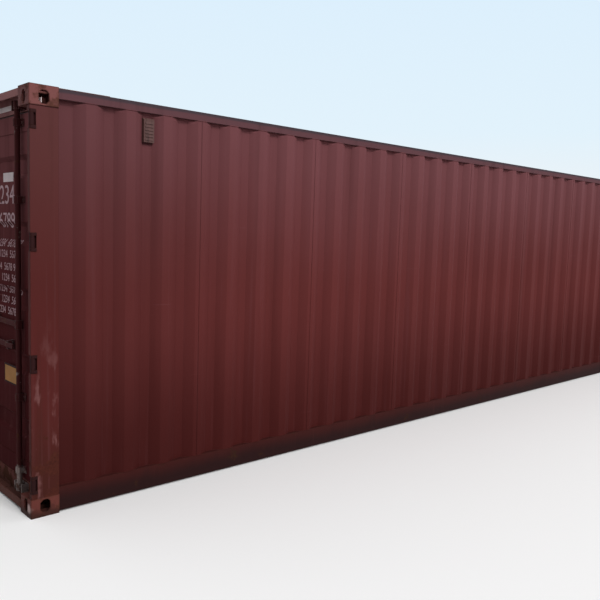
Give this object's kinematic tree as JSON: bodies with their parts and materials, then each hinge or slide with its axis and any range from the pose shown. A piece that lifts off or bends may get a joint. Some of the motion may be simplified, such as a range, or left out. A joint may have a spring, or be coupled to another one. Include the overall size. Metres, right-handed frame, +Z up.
{
  "type": "shipping container",
  "caption": "Steel freight container with ribbed walls, corner castings, two hinged door leaves with lock bars, plywood floor and stamped roof.",
  "frame": {"origin": "middle of the footprint, on the ground under the bottom corner castings", "axes": "+X along the length towards the blind front end, door end at -X, +Y across, +Z up"},
  "size_m": [12.192, 2.438, 2.591],
  "materials": {
    "wall_paint": "weathered brown-red paint on ribbed sheet",
    "frame_paint": "weathered brown-red paint on heavy sections",
    "door_paint": "weathered brown-red paint on door leaves",
    "roof_paint": "chalked and dusty brown-red paint",
    "casting": "painted casting, worn to rust at its edges",
    "rail_top": "dirty brown-red paint",
    "rail_bottom": "dark, grimy paint",
    "underside": "black underbody coating",
    "floor_wood": "worn plywood",
    "gasket_rubber": "matt rubber",
    "lock_gear": "galvanized steel, paint-worn",
    "hinge_steel": "painted forging, rusty at its pin",
    "vent_cover": "faded grey-brown moulding"
  },
  "bodies": {
    "root": {"bottom_corner_castings": "casting", "top_corner_castings": "casting", "side_wall_right": "wall_paint", "side_wall_left": "wall_paint", "front_wall": "wall_paint", "roof_panel": "roof_paint", "roof_corner_plates": "roof_paint", "top_side_rail_right": "rail_top", "top_side_rail_left": "rail_top", "front_top_rail": "rail_top", "bottom_side_rail_right": "rail_bottom", "bottom_side_rail_left": "rail_bottom", "front_bottom_rail": "rail_bottom", "front_corner_post_right": "frame_paint", "front_corner_post_left": "frame_paint", "door_corner_post_right": "frame_paint", "door_corner_post_left": "frame_paint", "door_header": "frame_paint", "door_sill": "frame_paint", "floor": "floor_wood", "cross_bearers": "underside", "gooseneck_tunnel": "underside", "hinge_lugs": "hinge_steel", "cam_keepers": "lock_gear", "side_vents": "vent_cover"},
    "right_door": {"right_door_frame": "door_paint", "right_door_panel": "door_paint", "right_door_gasket": "gasket_rubber", "right_hinge_blades": "hinge_steel", "right_bar_guides": "lock_gear", "right_handle_catches": "lock_gear"},
    "right_outer_bar": {"right_outer_lock_bar": "lock_gear", "right_outer_handle": "lock_gear"},
    "right_inner_bar": {"right_inner_lock_bar": "lock_gear", "right_inner_handle": "lock_gear"},
    "left_door": {"left_door_frame": "door_paint", "left_door_panel": "door_paint", "left_door_gasket": "gasket_rubber", "left_hinge_blades": "hinge_steel", "left_bar_guides": "lock_gear", "left_handle_catches": "lock_gear"},
    "left_outer_bar": {"left_outer_lock_bar": "lock_gear", "left_outer_handle": "lock_gear"},
    "left_inner_bar": {"left_inner_lock_bar": "lock_gear", "left_inner_handle": "lock_gear"}
  },
  "joints": [
    {"name": "right_door_hinge", "type": "hinge", "parent": "root", "child": "right_door", "pos_m": [-6.078, -1.205, 1.2955], "axis": [0, 0, 1], "range_deg": [0, 270]},
    {"name": "right_outer_bar_turn", "type": "hinge", "parent": "right_door", "child": "right_outer_bar", "pos_m": [-6.034, -0.879, 1.301], "axis": [0, 0, -1], "range_deg": [-95, 0]},
    {"name": "right_inner_bar_turn", "type": "hinge", "parent": "right_door", "child": "right_inner_bar", "pos_m": [-6.034, -0.32, 1.301], "axis": [0, 0, 1], "range_deg": [-95, 0]},
    {"name": "left_door_hinge", "type": "hinge", "parent": "root", "child": "left_door", "pos_m": [-6.078, 1.205, 1.2955], "axis": [0, 0, -1], "range_deg": [0, 270]},
    {"name": "left_outer_bar_turn", "type": "hinge", "parent": "left_door", "child": "left_outer_bar", "pos_m": [-6.034, 0.879, 1.301], "axis": [0, 0, 1], "range_deg": [-95, 0]},
    {"name": "left_inner_bar_turn", "type": "hinge", "parent": "left_door", "child": "left_inner_bar", "pos_m": [-6.034, 0.32, 1.301], "axis": [0, 0, -1], "range_deg": [-95, 0]}
  ]
}
